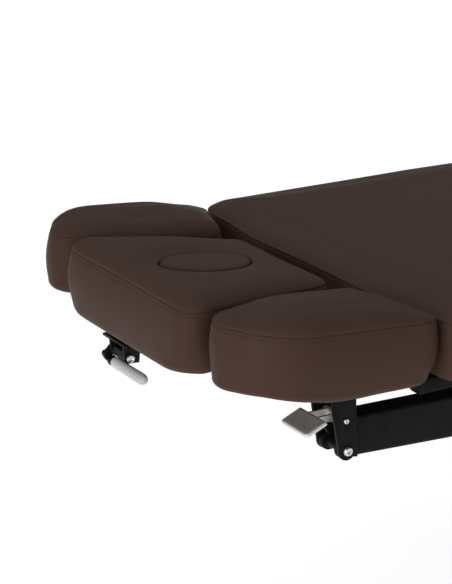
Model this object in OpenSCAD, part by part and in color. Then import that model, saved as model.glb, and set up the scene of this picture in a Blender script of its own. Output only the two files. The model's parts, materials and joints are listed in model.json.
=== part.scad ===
// Spa treatment bed: electric lifting columns, raising back, tilting head section with a face plug,
// two tilting armrests. Head end towards -X, foot end towards +X, the lying person's right towards -Y.

/* [Table] */
// Height of the cushions' top seam above the floor
seam_h = 700; // [650:10:760]
// Half the width of the back and seat cushions
table_hw = 381; // [360:1:390]
// Far end of the seat and leg cushion, from the head cushion's back seam
foot_end = 1760; // [1600:10:1900]
// Distance from the back seam of the head cushion to the back hinge
hinge_x = 720; // [700:5:740]

/* [Cushions] */
// Height from the seam down to the underside of the head and arm cushions
pad_t = 93; // [80:1:96]
// Rise of a cushion's crown above its seam
crown = 15; // [10:1:18]
// Thickness of the boards under the cushions
board_t = 15; // [12:1:15]
// Half width of the head cushion at its front edge
head_hw = 208; // [190:1:210]
// Half width of the head cushion at its back edge
head_back_hw = 130; // [110:1:135]
// Length of the oval face plug
plug_l = 150; // [120:1:160]
// Width of the oval face plug
plug_w = 104; // [90:1:110]
// Tilt of the head section and the armrests as the bed stands
rest_tilt = 4.66; // [3:0.1:5]

/* [Chassis] */
// Width of a side rail
rail_w = 40; // [36:1:40]
// Height of a side rail
rail_h = 60; // [50:1:60]
// Inner face of a side rail, from the middle
rail_in = 245; // [240:1:250]
// Wall of the rails and tubes
wall = 3; // [2:0.5:4]
// Middle of the lifting column at the head end
col_head_x = 560; // [540:5:570]
// Middle of the lifting column at the foot end
col_foot_x = 1260; // [1200:10:1300]

/* [Columns] */
// Length of each column tube
col_l = 300; // [280:5:304]
// Outer tube across the bed
col_w = 130; // [120:1:140]
// Outer tube along the bed
col_d = 90; // [80:1:100]

/* [Base] */
// Length of a foot bar
foot_bar_l = 520; // [480:10:540]
// Position of the foot bar at the foot end
foot_bar_x = 1400; // [1360:10:1450]

/* [Hidden] */
$fn = 48;

shift_x = -733.79;             // puts the origin under the middle of the bed
leather = [0.30, 0.23, 0.20];
dark = [0.14, 0.14, 0.14];
grey = [0.36, 0.36, 0.35];
light = [0.74, 0.75, 0.73];
plastic = [0.10, 0.10, 0.11];
ply = [0.72, 0.58, 0.40];

rail_top = -148;               // heights below the seam
rail_bot = rail_top - rail_h;
rail_low = rail_bot - 7;        // underside of the rails behind their raised head ends
tube = 25;                     // square tube of the back and head frames
tube_top = -108;
tube_bot = tube_top - tube;
back_t = 85;                   // back and seat cushions, seam to underside
back_seam = -8;
board_bot = -108;
nose_z = -43;                  // axis of the back hinge, in the middle of the cushion's thickness
nose_r = 50;
arm_b = [-80, -190];           // armrest pivot bolt, x and z
arm_s = [-83, -143];           // paddle bolt
arm_seam = 10.3;
head_a = [0, -125];            // head hinge
lever_p = [-266.5, -130.2];    // head lever pivot, before the tilt
lug_a = [hinge_x - 30.2, nose_z - 145];        // slot of the back's drive lug
rod_tip = [hinge_x - 33.55, nose_z - 150.56];
motor_p = [hinge_x + 300.6, nose_z - 112.9];
rod_l = norm(rod_tip - motor_p);
rod_ang = atan2(-(rod_tip.y - motor_p.y), -(rod_tip.x - motor_p.x)); // down towards the head
floor_z = -seam_h;
base_top = floor_z + 76;
collar = 6;

// ---- helpers -------------------------------------------------------------------------------
function unit(v) = v / norm(v);
// a convex outline moved inwards by d (corners listed anticlockwise)
function inset(p, d) = [for (i = [0:len(p) - 1])
    let (a = p[(i + len(p) - 1) % len(p)], b = p[i], c = p[(i + 1) % len(p)],
         u = unit(a - b), v = unit(c - b), s = sqrt((1 - u * v) / 2))
    b + unit(u + v) * d / s];
// an outline with its corners rounded
function rnd(p, r, n = 7) = [for (i = [0:len(p) - 1])
    let (a = p[(i + len(p) - 1) % len(p)], b = p[i], c = p[(i + 1) % len(p)],
         u = unit(a - b), v = unit(c - b), h = acos(u * v) / 2, t = r[i] / tan(h),
         o = b + unit(u + v) * r[i] / sin(h), s = b + u * t, e = b + v * t,
         a0 = atan2(s.y - o.y, s.x - o.x), a1 = atan2(e.y - o.y, e.x - o.x),
         d = (a1 - a0 + 540) % 360 - 180)
    for (k = [0:n]) o + r[i] * [cos(a0 + d * k / n), sin(a0 + d * k / n)]];
function oval(l, w, n = 48) = [for (k = [0:n - 1]) [l / 2 * cos(360 * k / n), w / 2 * sin(360 * k / n)]];
function less(r, d) = [for (x = r) max(3, x - d)];

// everything is drawn from the head cushion's back seam and the seam level, then placed
module place() { translate([shift_x, 0, seam_h]) children(); }
module right() { place() mirror([0, 1, 0]) children(); }
module left() { place() children(); }
module both() { right() children(); left() children(); }
// tilt about a crosswise axis at [x, z]; positive lifts the head end
module tilt(p, a) { translate([p.x, 0, p.y]) rotate([0, a, 0]) translate([-p.x, 0, -p.y]) children(); }
// crosswise round bar between y0 and y1
module bar(p, r, y0, y1) { translate([p.x, y0, p.y]) rotate([-90, 0, 0]) cylinder(r = r, h = y1 - y0); }
// upright plate: x-z outline, from y0 to y1
module plate(pts, y0, y1) { translate([0, y1, 0]) rotate([90, 0, 0]) linear_extrude(y1 - y0) polygon(pts); }
// box from its lowest to its highest corner
module box(a, b) { translate(a) cube(b - a); }
// square or rectangular tube, open along x or y or z
module tube_x(a, b, t = wall) { difference() { box(a, b); box([a.x - 1, a.y + t, a.z + t], [b.x + 1, b.y - t, b.z - t]); } }
module tube_y(a, b, t = wall) { difference() { box(a, b); box([a.x + t, a.y - 1, a.z + t], [b.x - t, b.y + 1, b.z - t]); } }
module tube_z(a, b, t = wall) { difference() { box(a, b); box([a.x + t, a.y + t, a.z - 1], [b.x - t, b.y - t, b.z + 1]); } }

// cushion body in stepped layers: full outline up to the seam, then two smaller ones to the crown
module pad(p, r, z0, zs, cr) {
    translate([0, 0, z0]) linear_extrude(zs + cr * 0.4 - z0) polygon(rnd(p, r));
    translate([0, 0, zs]) linear_extrude(cr * 0.75) polygon(rnd(inset(p, 12), less(r, 12)));
    translate([0, 0, zs]) linear_extrude(cr) polygon(rnd(inset(p, 30), less(r, 30)));
}

// ---- outlines ------------------------------------------------------------------------------
head_p = [[-296, -head_hw], [-10, -head_back_hw], [-10, head_back_hw], [-296, head_hw]];
head_r = [34, 30, 30, 34];
head_board_p = [[-266, -94], [-232, -126], [-40, -86], [-40, 86], [-232, 126], [-266, 94]];
arm_p = [[-306, 239], [-170, 186], [-24, 185], [35, 354], [-246, 362]];
arm_r = [47, 150, 43, 31, 104];
arm_board_p = [[-225, 236], [-165, 222], [-46, 222], [-20, 306], [-182, 300]];
back_p = [[35, -170], [54, -table_hw], [hinge_x, -table_hw], [hinge_x, table_hw], [54, table_hw], [35, 170]];
back_r = [300, 60, 2, 2, 60, 300];
seat_x = hinge_x + nose_r + 4;
seat_p = [[seat_x, -table_hw], [foot_end, -table_hw], [foot_end, table_hw], [seat_x, table_hw]];

// ---- base ----------------------------------------------------------------------------------
module base_spine() {
    color(dark) place() {
        tube_x([col_head_x + 30, -40, floor_z + 28], [foot_bar_x - 30, 40, floor_z + 68]);
        for (x = [col_head_x, col_foot_x])
            box([x - 65, -90, floor_z + 68], [x + 65, 90, base_top]);
    }
}
module foot_bar(x) {
    tube_y([x - 30, -foot_bar_l / 2, floor_z + 28], [x + 30, foot_bar_l / 2, floor_z + 68]);
}
module foot_bar_head() { color(dark) place() foot_bar(col_head_x); }
module foot_bar_foot() { color(dark) place() foot_bar(foot_bar_x); }
module foot_bar_caps() {
    color(plastic) both() for (x = [col_head_x, foot_bar_x]) {
        box([x - 30, foot_bar_l / 2, floor_z + 28], [x + 30, foot_bar_l / 2 + 4, floor_z + 68]);
        box([x - 26.6, foot_bar_l / 2 - 12, floor_z + 31.4], [x + 26.6, foot_bar_l / 2 + 1, floor_z + 64.6]);
    }
}
module levellers() {
    color(plastic) both() for (x = [col_head_x, foot_bar_x]) translate([x, foot_bar_l / 2 - 35, floor_z]) {
        cylinder(r = 25, h = 7);
        cylinder(r = 14, h = 12);
        cylinder(r = 6, h = 28);
        translate([0, 0, 19]) cylinder(r = 10, h = 9, $fn = 6);
    }
}

// ---- lifting columns -----------------------------------------------------------------------
module column_tube(x, g, z0) {
    tube_z([x - col_d / 2 + g, -col_w / 2 + g, z0], [x + col_d / 2 - g, col_w / 2 - g, z0 + col_l]);
}
module collar_ring(x, g, z0) {
    difference() {
        box([x - col_d / 2 + g, -col_w / 2 + g, z0], [x + col_d / 2 - g, col_w / 2 - g, z0 + collar]);
        box([x - col_d / 2 + g + 5.6, -col_w / 2 + g + 5.6, z0 - 1], [x + col_d / 2 - g - 5.6, col_w / 2 - g - 5.6, z0 + collar + 1]);
    }
}
mid_z = base_top + 56;                  // underside of the middle tubes as the bed stands
inner_z = rail_bot - col_l;
module column_outer_head() { color(grey) place() column_tube(col_head_x, 0, base_top); }
module column_outer_foot() { color(grey) place() column_tube(col_foot_x, 0, base_top); }
module column_collars_low() { color(plastic) place() for (x = [col_head_x, col_foot_x]) collar_ring(x, 0, base_top + col_l); }
module column_mid_head() { color(light) place() column_tube(col_head_x, 6, mid_z); }
module column_mid_foot() { color(light) place() column_tube(col_foot_x, 6, mid_z); }
module column_collars_high() { color(plastic) place() for (x = [col_head_x, col_foot_x]) collar_ring(x, 6, mid_z + col_l); }
module column_inner_head() { color(light) place() column_tube(col_head_x, 12, inner_z); }
module column_inner_foot() { color(light) place() column_tube(col_foot_x, 12, inner_z); }
// gear motor standing on the base beside each column
module lift_motors() {
    color(plastic) place() for (x = [col_head_x + 98, col_foot_x - 98]) {
        box([x - 32, -30, floor_z + 68], [x + 32, 30, floor_z + 110]);
        translate([x, 0, floor_z + 110]) cylinder(r = 27, h = 95);
        translate([x, 0, floor_z + 205]) cylinder(r = 20, h = 6);
    }
}
module lift_spindles() {
    color(light) place() for (x = [col_head_x, col_foot_x]) {
        translate([x, 0, base_top]) cylinder(r = 9, h = col_l - 6);
        translate([x, 0, base_top]) cylinder(r = 18, h = 3);
    }
}

// ---- chassis -------------------------------------------------------------------------------
// the rail's first 170 mm rise a little towards the armrest pivot
function rail_line(t, e) = [[-58 - e, rail_bot + 1.5 + t], [112, rail_low + t], [1680 + e, rail_low + t],
    [1680 + e, rail_top - t], [112, rail_top - t], [-58 - e, rail_top + 4.5 - t]];
module side_rail() {
    difference() {
        plate(rail_line(0, 0), rail_in, rail_in + rail_w);
        plate(rail_line(wall, 1), rail_in + wall, rail_in + rail_w - wall);
    }
}
module side_rail_right() { color(dark) right() side_rail(); }
module side_rail_left() { color(dark) left() side_rail(); }
module cross_tubes() {
    color(dark) place() for (x = [300, hinge_x + 320]) tube_y([x, -rail_in, rail_bot], [x + 40, rail_in, rail_bot + 40]);
}
module cross_beam(x) { tube_y([x - 45, -rail_in, rail_bot], [x + 45, rail_in, rail_bot + 40]); }
module cross_beam_head() { color(dark) place() cross_beam(col_head_x); }
module cross_beam_foot() { color(dark) place() cross_beam(col_foot_x); }
// end plate of a side rail with two lugs for the armrest bolt and a toothed quadrant between them
module armrest_lug() {
    difference() {
        union() {
            box([-63, rail_in - 4.5, rail_bot + 3], [-58, rail_in + rail_w + 4.5, rail_top + 5.5]);
            for (y = [rail_in - 4.5, rail_in + rail_w - 3.5]) {
                bar(arm_b, 14, y, y + 8);
                box([arm_b.x, y, arm_b.y - 14], [-62, y + 8, arm_b.y + 14]);
            }
            intersection() {
                difference() {
                    bar(arm_b, 35, rail_in + 16, rail_in + 22);
                    bar(arm_b, 24, rail_in + 15, rail_in + 23);
                }
                plate([[arm_b.x, arm_b.y], [-58.5, arm_b.y + 30], [-58.5, arm_b.y + 45], [arm_b.x - 20, arm_b.y + 45], [arm_b.x - 26, arm_b.y + 40]],
                    rail_in + 15, rail_in + 23);
            }
        }
        bar(arm_b, 5.05, rail_in - 10, rail_in + rail_w + 10);
        for (a = [70, 82, 94, 106]) bar(arm_b + 36 * [cos(a), sin(a)], 2, rail_in + 10, rail_in + 28);
    }
}
module armrest_lugs() { color(dark) both() armrest_lug(); }
module rail_caps() {
    color(plastic) both() {
        box([1680, rail_in, rail_low], [1684, rail_in + rail_w, rail_top]);
        box([1668, rail_in + 3.4, rail_low + 3.4], [1681, rail_in + rail_w - 3.4, rail_top - 3.4]);
    }
}
// outrigger and upright plate that carry the back hinge beside the cushions
module pivot_bracket() {
    difference() {
        union() {
            tube_y([hinge_x - 40, rail_in + rail_w, rail_bot], [hinge_x + 40, 397, rail_bot + 40]);
            plate([[hinge_x - 45, rail_bot], [hinge_x + 45, rail_bot], [hinge_x + 45, -168], [hinge_x + 34, nose_z], [hinge_x - 34, nose_z], [hinge_x - 45, -168]], 397, 403);
            bar([hinge_x, nose_z], 34, 397, 403);
        }
        bar([hinge_x, nose_z], 8.03, 390, 410);
    }
}
module pivot_brackets() { color(dark) both() pivot_bracket(); }
module pivot_pins() {
    color(light) both() {
        bar([hinge_x, nose_z], 8, 389.5, 404);
        bar([hinge_x, nose_z], 28, 403, 409);
    }
}
module rest_pads() {
    color(plastic) both() box([420, rail_in + 22, rail_top], [460, rail_in + 38, tube_bot]);
}
module control_box() {
    color(plastic) place() difference() {
        box([1330, -95, board_bot - 48], [1530, 95, board_bot]);
        box([1333, -92, board_bot - 45], [1527, 92, board_bot - 3]);
    }
}
module mains_inlet() {
    color(plastic) place() difference() {
        box([1530, -15, board_bot - 38], [1540, 15, board_bot - 12]);
        box([1532, -11, board_bot - 34], [1541, 11, board_bot - 16]);
    }
}
module back_motor_bracket() {
    color(dark) place() {
        difference() {
            for (y = [-20, 14]) {
                plate([[hinge_x + 320, rail_bot], [hinge_x + 320, rail_bot + 40], [motor_p.x, motor_p.y + 14], [motor_p.x - 12, motor_p.y], [motor_p.x - 8, motor_p.y - 10]], y, y + 6);
                bar(motor_p, 14, y, y + 6);
            }
            bar(motor_p, 5, -30, 30);
        }
        bar(motor_p, 5, -23, 23);
    }
}
module seat_rails() {
    color(dark) both() tube_x([820, rail_in, rail_top], [1660, rail_in + rail_w, board_bot]);
}
module seat_board() { color(ply) place() box([840, -330, board_bot], [foot_end - 50, 330, board_bot + board_t]); }
module seat_cushion() {
    color(leather) place() {
        pad(seat_p, [8, 60, 60, 8], board_bot + board_t, back_seam, crown);
    }
}

// ---- back section --------------------------------------------------------------------------
// the tube's head end is cut on a slant and closed
module back_tube() {
    difference() {
        plate([[50, tube_bot], [690, tube_bot], [690, tube_top], [38, tube_top]], 265, 290);
        plate([[52, tube_bot + 2.5], [691, tube_bot + 2.5], [691, tube_top - 2.5], [42, tube_top - 2.5]], 267.5, 287.5);
    }
}
module back_tube_right() { color(grey) right() back_tube(); }
module back_tube_left() { color(grey) left() back_tube(); }
module back_cross_head() { color(grey) place() tube_y([60, -265, tube_bot], [85, 265, tube_top], 2.5); }
slot_d = [cos(67.1), sin(67.1)];
module back_cross_foot() {
    color(grey) place() difference() {
        union() {
            tube_y([hinge_x - 80, -265, tube_bot], [hinge_x - 55, 265, tube_top], 2.5);
            for (y = [-18, 12]) {
                for (k = [-1, 1]) bar(lug_a + k * 6.8 * slot_d, 15, y, y + 6);
                plate([[hinge_x - 80, tube_bot], [lug_a.x - 18, lug_a.y - 4], [lug_a.x - 9, lug_a.y - 18], [lug_a.x + 16, lug_a.y - 5], [lug_a.x + 18, lug_a.y + 10], [hinge_x - 40, tube_bot]], y, y + 6);
            }
        }
        for (k = [-1, 1]) bar(lug_a + k * 6.8 * slot_d, 6.3, -30, 30);
        translate([lug_a.x, 0, lug_a.y]) rotate([0, -67.1, 0]) translate([-6.8, -30, -6.3]) cube([13.6, 60, 12.6]);
    }
}
// arms that carry the back frame from the hinge pins
module pivot_arm() {
    difference() {
        union() {
            bar([hinge_x, nose_z], 34, 390, 395);
            plate([[hinge_x - 160, tube_bot], [hinge_x - 100, tube_bot], [hinge_x + 26, nose_z - 20], [hinge_x, nose_z + 20], [hinge_x - 30, nose_z + 10], [hinge_x - 160, tube_top]], 390, 395);
            tube_y([hinge_x - 160, 290, tube_bot], [hinge_x - 120, 391, tube_top], 2.5);
        }
        bar([hinge_x, nose_z], 8.05, 380, 400);
    }
}
module pivot_arms() { color(dark) both() pivot_arm(); }
module head_knuckles() {
    color(grey) both() difference() {
        union() {
            bar(head_a, 13, 78, 84);
            plate([[60, tube_bot], [60, tube_top], [30, tube_top], [0, -112], [-6, -130], [0, -138]], 78, 84);
        }
        bar(head_a, 6.03, 70, 90);
    }
}
module head_hinge_pins() {
    color(light) both() { bar(head_a, 6, 44, 86); bar(head_a, 10, 84, 88); }
}
module back_board() { color(ply) place() box([85, -320, board_bot], [hinge_x - 25, 320, board_bot + board_t]); }
module back_cushion() {
    color(leather) place() {
        translate([0, 0, board_bot + board_t]) linear_extrude(back_seam + 6 - board_bot - board_t) polygon(rnd(back_p, back_r));
        translate([0, 0, back_seam]) linear_extrude(crown) polygon(rnd([[60, -175], [80, -table_hw + 24], [hinge_x, -table_hw + 24], [hinge_x, table_hw - 24], [80, table_hw - 24], [60, 175]], [300, 40, 2, 2, 40, 300]));
        bar([hinge_x, nose_z], nose_r, -table_hw, table_hw);
    }
}

// ---- back drive ----------------------------------------------------------------------------
// drawn along +x from the motor's pivot, then turned to lie from the pivot down to the lug
module drive() { place() translate([motor_p.x, 0, motor_p.y]) rotate([0, 180 - rod_ang, 0]) children(); }
module xcyl(r, x0, x1) { translate([x0, 0, 0]) rotate([0, 90, 0]) cylinder(r = r, h = x1 - x0); }
module back_motor() {
    color(plastic) drive() difference() {
        union() {
            bar([0, 0], 13, -13.5, 13.5);
            xcyl(12, 4, 30);
            box([22, -28, -26], [78, 62, 26]);
            translate([0, 38, 0]) xcyl(22, 78, 168);
            xcyl(16, 78, 215);
        }
        bar([0, 0], 5.05, -20, 20);
        xcyl(10.05, 50, 220);
    }
}
module back_rod() {
    color(light) drive() {
        xcyl(10, 60, rod_l - 8);
        bar([rod_l, 0], 13, -10, 10);
        bar([rod_l, 0], 5, -21, 21);
    }
}

// ---- head section --------------------------------------------------------------------------
module head() { place() tilt(head_a, rest_tilt) children(); }
module head_tubes() {
    color(grey) for (s = [0, 1]) head() mirror([0, s, 0]) difference() {
        union() {
            tube_x([-196, 50, tube_bot], [-16, 75, tube_top], 2.5);
            bar(head_a, 12, 48, 77);
            box([-20, 50, tube_bot], [-8, 75, tube_top]);
        }
        bar(head_a, 6.05, 40, 90);
    }
}
module head_board() {
    color(ply) head() difference() {
        translate([0, 0, board_bot]) linear_extrude(board_t) polygon(rnd(head_board_p, [20, 20, 10, 10, 20, 20]));
        translate([-155, 0, board_bot - 1]) linear_extrude(board_t + 2) polygon(oval(plug_l - 20, plug_w - 20));
    }
}
module head_cushion() {
    color(leather) head() difference() {
        pad(head_p, head_r, -pad_t, 0, crown);
        translate([-155, 0, -pad_t - 1]) linear_extrude(pad_t + crown + 2) polygon(oval(plug_l, plug_w));
    }
}
module face_plug() {
    color(leather) head() translate([-155, 0, 0]) {
        translate([0, 0, -pad_t + 0.3]) linear_extrude(pad_t + crown - 2.3) polygon(oval(plug_l - 2.4, plug_w - 2.4));
        linear_extrude(crown + 3) polygon(oval(plug_l - 24, plug_w - 24));
    }
}
module head_lever_bracket() {
    color(grey) head() difference() {
        union() {
            box([-279, 8, board_bot - 4], [-248, 86, board_bot]);
            for (y = [18, 62]) {
                bar(lever_p, 9, y, y + 4);
                plate([[-279, board_bot], [-275, lever_p.y - 4], [-264, lever_p.y - 8.5], [-250, lever_p.y - 8.5], [-249, board_bot]], y, y + 4);
            }
        }
        bar(lever_p, 4.53, 0, 90);
    }
}
// pin that turns in the bracket's cheeks, the bent lever and its hub fixed on it
module head_lever_pin() {
    color(light) head() { bar(lever_p, 4.5, 14, 84); bar(lever_p, 6.5, 13, 17); }
}
grip_p = [-269, -149];
module head_lever() {
    color(plastic) head() difference() {
        union() {
            bar(lever_p, 8.5, 24, 60);
            plate([[lever_p.x - 8, lever_p.y], [lever_p.x - 8, lever_p.y + 9], [lever_p.x + 14, lever_p.y + 9], [lever_p.x + 16, lever_p.y - 6], [lever_p.x, lever_p.y - 8.5]], 28, 56);
            bar(lever_p, 7.5, 79, 90);
            bar(grip_p, 5.5, -31, 90);
            plate([[lever_p.x - 7, lever_p.y], [grip_p.x - 5.5, grip_p.y], [grip_p.x + 5.5, grip_p.y], [lever_p.x + 7, lever_p.y]], 79, 90);
        }
        bar(lever_p, 4.5, 12, 84);
    }
}
module head_grip() {
    color(light) head() difference() {
        bar(grip_p, 8.8, -34, 62);
        bar(grip_p, 5.5, -31, 70);
    }
}

// ---- armrests ------------------------------------------------------------------------------
module arm_tilt() { tilt(arm_b, rest_tilt) children(); }
module arm_cushion() { arm_tilt() pad(arm_p, arm_r, arm_seam - pad_t, arm_seam, crown); }
module arm_board() {
    arm_tilt() translate([0, 0, arm_seam - pad_t - board_t]) linear_extrude(board_t) polygon(rnd(arm_board_p, [16, 20, 10, 10, 30]));
}
module arm_bracket() {
    difference() {
        union() {
            arm_tilt() box([-150, 227, arm_seam - pad_t - board_t - 5], [-22, 303, arm_seam - pad_t - board_t]);
            for (y = [234, 291]) {
                bar(arm_b, 14.5, y, y + 5);
                plate([[-108, -102], [-65, -102], [-65.5, arm_b.y], [-94.5, arm_b.y]], y, y + 5);
            }
        }
        bar(arm_b, 5.03, 220, 310);
        bar(arm_s, 3.03, 220, 310);
    }
}
module arm_bolts() {
    bar(arm_b, 5, 230, 300);
    bar(arm_b, 7.7, 249.2, 280.8);
    bar(arm_b, 7.6, 296, 301);
    difference() { bar(arm_b, 8.5, 227, 234, $fn = 6); bar(arm_b, 4.9, 220, 229); }
    bar(arm_s, 3, 230, 298);
    bar(arm_s, 4.6, 296, 299.5);
    bar(arm_s, 5.5, 229.5, 234);
}
module arm_paddle() {
    difference() {
        union() {
            bar(arm_s, 7, 242, 288);
            for (y = [250, 274]) plate([[-123, -135.5], [arm_s.x, arm_s.y + 7], [arm_s.x, arm_s.y - 7], [-123, -142]], y, y + 4);
            translate([-153.5, 231, -150.5]) rotate([0, -22.5, 0]) {
                cube([37.9, 71, 2.5]);
                translate([0, 0, -3.5]) cube([2.5, 71, 5]);
                for (y = [0, 68.5]) translate([0, y, -3.5]) cube([37.9, 2.5, 5]);
            }
            translate([arm_s.x, 260, arm_s.y]) rotate([0, -3.65, 0]) translate([-2, 0, -10.6]) cube([4, 8, 8]);
        }
        bar(arm_s, 3.05, 220, 310);
    }
}
module armrest_cushion_right() { color(leather) right() arm_cushion(); }
module armrest_board_right() { color(ply) right() arm_board(); }
module armrest_bracket_right() { color(grey) right() arm_bracket(); }
module armrest_bolts_right() { color(light) right() arm_bolts(); }
module armrest_cushion_left() { color(leather) left() arm_cushion(); }
module armrest_board_left() { color(ply) left() arm_board(); }
module armrest_bracket_left() { color(grey) left() arm_bracket(); }
module armrest_bolts_left() { color(light) left() arm_bolts(); }
module paddle_right() { color(light) right() arm_paddle(); }
module paddle_left() { color(light) left() arm_paddle(); }

// ---- drawing -------------------------------------------------------------------------------
base_spine();
foot_bar_head();
foot_bar_foot();
foot_bar_caps();
levellers();
column_outer_head();
column_outer_foot();
column_collars_low();
lift_motors();
lift_spindles();
column_mid_head();
column_mid_foot();
column_collars_high();
column_inner_head();
column_inner_foot();
side_rail_right();
side_rail_left();
cross_tubes();
cross_beam_head();
cross_beam_foot();
armrest_lugs();
rail_caps();
pivot_brackets();
pivot_pins();
rest_pads();
control_box();
mains_inlet();
back_motor_bracket();
seat_rails();
seat_board();
seat_cushion();
back_tube_right();
back_tube_left();
back_cross_head();
back_cross_foot();
pivot_arms();
head_knuckles();
head_hinge_pins();
back_board();
back_cushion();
back_motor();
back_rod();
head_tubes();
head_board();
head_cushion();
head_lever_bracket();
head_lever_pin();
face_plug();
head_lever();
head_grip();
armrest_cushion_right();
armrest_board_right();
armrest_bracket_right();
armrest_bolts_right();
armrest_cushion_left();
armrest_board_left();
armrest_bracket_left();
armrest_bolts_left();
paddle_right();
paddle_left();
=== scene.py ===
"""Looks of a spa treatment bed: leather cushions, powder-coated chassis, lifting columns and fittings."""

import bpy
import bmesh
import json
import math
import numpy as np
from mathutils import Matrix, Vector
from mathutils.bvhtree import BVHTree


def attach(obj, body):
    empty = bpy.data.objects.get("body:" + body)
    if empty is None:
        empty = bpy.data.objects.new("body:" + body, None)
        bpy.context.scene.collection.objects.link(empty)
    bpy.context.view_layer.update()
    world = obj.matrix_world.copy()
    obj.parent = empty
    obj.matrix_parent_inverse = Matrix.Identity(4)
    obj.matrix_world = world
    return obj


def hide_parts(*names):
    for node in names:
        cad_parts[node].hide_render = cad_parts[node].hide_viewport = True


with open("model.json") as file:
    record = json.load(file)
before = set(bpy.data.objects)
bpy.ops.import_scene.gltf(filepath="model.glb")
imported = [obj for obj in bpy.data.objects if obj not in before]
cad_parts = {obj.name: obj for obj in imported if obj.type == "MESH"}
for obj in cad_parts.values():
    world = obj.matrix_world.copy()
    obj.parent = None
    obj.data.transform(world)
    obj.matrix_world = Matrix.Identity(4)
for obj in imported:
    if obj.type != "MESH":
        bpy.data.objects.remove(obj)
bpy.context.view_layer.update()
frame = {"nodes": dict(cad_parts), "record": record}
NODES = frame["nodes"]
BODY = {n: b for b, ns in frame["record"]["behaviour"]["bodies"].items() for n in ns}
scene = bpy.context.scene
made = {}

# ---------------------------------------------------------------------------------------------
# places: millimetres from the head cushion's back seam, seam level and middle, as in the CAD
# ---------------------------------------------------------------------------------------------
SX, SZ, REST = -733.79, 700.0, 4.66


def P(x, y, z):
    return Vector(((x + SX) / 1000, y / 1000, (z + SZ) / 1000))


def turn(p, c, deg):
    a = math.radians(deg)
    x, z = p[0] - c[0], p[2] - c[1]
    return (c[0] + x * math.cos(a) + z * math.sin(a), p[1], c[1] - x * math.sin(a) + z * math.cos(a))


HEAD_A, ARM_B, ARM_S = (0, -125), (-80, -190), (-83, -143)
HINGE = (720.0, -43.0)


def ease(v, a, b):
    t = max(0.0, min(1.0, (v - a) / (b - a)))
    return t * t * (3 - 2 * t)


def lerp_table(v, table):
    for (a, p), (b, q) in zip(table, table[1:]):
        if v <= b:
            t = max(0.0, (v - a) / (b - a))
            return p + (q - p) * t
    return table[-1][1]


def head_sp(x, y, z):
    return P(*turn((x, y, z), HEAD_A, REST))


def head_soft(x, y, z):
    """The head cushion's front hangs a little over its board."""
    if z > 0:  # fuller beside the plug and towards the front, so that the top dips to the plug
        near = math.hypot((x + 155) / 75, y / 52)
        z += 7.5 * z / 15 * ease(near, 1.05, 1.75) * (1 - ease(x, -160, -40))
    # the sides beside the armrests are nearly flat, which keeps the armrests' tilt free
    flat = 3.2 * ease(-z, -4, 14) * (1 - ease(-z, 72, 93)) * ease(-x, 40, 90) * (1 - ease(-x, 250, 280)) * ease(abs(y), 95, 125)
    y -= math.copysign(flat, y)
    w = max(0.0, -z / 93) ** 1.4 * ease(-x, 225, 288)
    c = ease(abs(y), 135, 205) * ease(-x, 235, 292) * max(0.0, (-z - 30) / 63) ** 1.7
    return head_sp(x - 5.0 * w * (1 - (y / 215) ** 2) + 15.0 * c, y - math.copysign(10.0 * c, y), z - 4.6 * w * (1 - 0.6 * ease(abs(y), 120, 200)))


# how far the armrest cushion's outer side hangs down, along the cushion
SAG = [(-320, 3.0), (-246, 3.0), (-215, -0.5), (-181, -4.5), (-158, -8.0), (-135, -9.4), (-102, -9.0), (-68, -6.6), (-37, -5.0), (-9, -3.4), (18, -1.6), (60, -0.8)]


def arm_soft(x, y, z):
    w = max(0.0, (10.3 - z) / 93) ** 1.4 * ease(y, 262, 330)
    low = ease(z, -76, -40) * (1 - ease(z, 11, 25))
    inner = ease(x, -200, -60) * ease(-y, -262, -198)  # fuller towards the back cushion, with the seam lower
    outer = ease(x, -20, 25) * ease(y, 295, 340)
    front = ease(-x, 225, 290) * (1 - ease(y, 250, 300)) * ease(z, -50, 8) * (1 - ease(z, 14, 28))
    x2 = x + 6.5 * ease(x, -100, -30) * ease(-y, -285, -215) * (0.35 + 0.65 * low) + 7.5 * outer * low - 6.5 * front
    if z > 10.3:  # the crown is fullest in the middle and flat towards the rear outer corner
        z = 10.3 + (z - 10.3) * (1.34 - 0.22 * ease(-x, 200, 300) - 0.54 * ease(x, -90, 15) * ease(y, 255, 335))
        z += 4.5 * ease(z, 10.3, 25) * ease(y, 270, 325) * (1 - ease(x, -110, -10)) * (1 - 0.7 * ease(-x, 210, 290))
    y += 3.6 * ease(-y, -262, -222) * ease(10.3 - z, -4, 14) * (1 - ease(10.3 - z, 72, 93)) * (1 - ease(x, -110, -50))
    return (x2, y, z + w * lerp_table(x, SAG) - 8.5 * inner * low)


def arm_left_soft(x, y, z):
    return arm_left_sp(*arm_soft(x, y, z))


def arm_right_soft(x, y, z):
    return arm_right_sp(*arm_soft(x, y, z))


def back_soft(x, y, z):
    """The back cushion's front corners hang a little too."""
    w = max(0.0, (-8 - z) / 85) ** 1.4 * (1 - ease(x, 70, 190)) * ease(abs(y), 250, 370)
    if z > -8:
        z = -8 + (z + 8) * (1 + 0.25 * (1 - ease(x, 450, 650)))
    return back_sp(x, y, z - 4.2 * w)


def arm_left_sp(x, y, z):
    return P(*turn((x, y, z), ARM_B, REST))


def arm_right_sp(x, y, z):
    return P(*turn((x, -y, z), ARM_B, REST))


def back_sp(x, y, z):
    if x > 720:  # the hinge end is a round nose about the hinge axis
        u, v = (x - 720) / 50, (z + 43) / 50
        x = 720 + 50 * u * math.sqrt(max(0.0, 1 - v * v / 2))
        z = -43 + 50 * v * math.sqrt(max(0.0, 1 - u * u / 2))
    return P(x, y, z)


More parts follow.
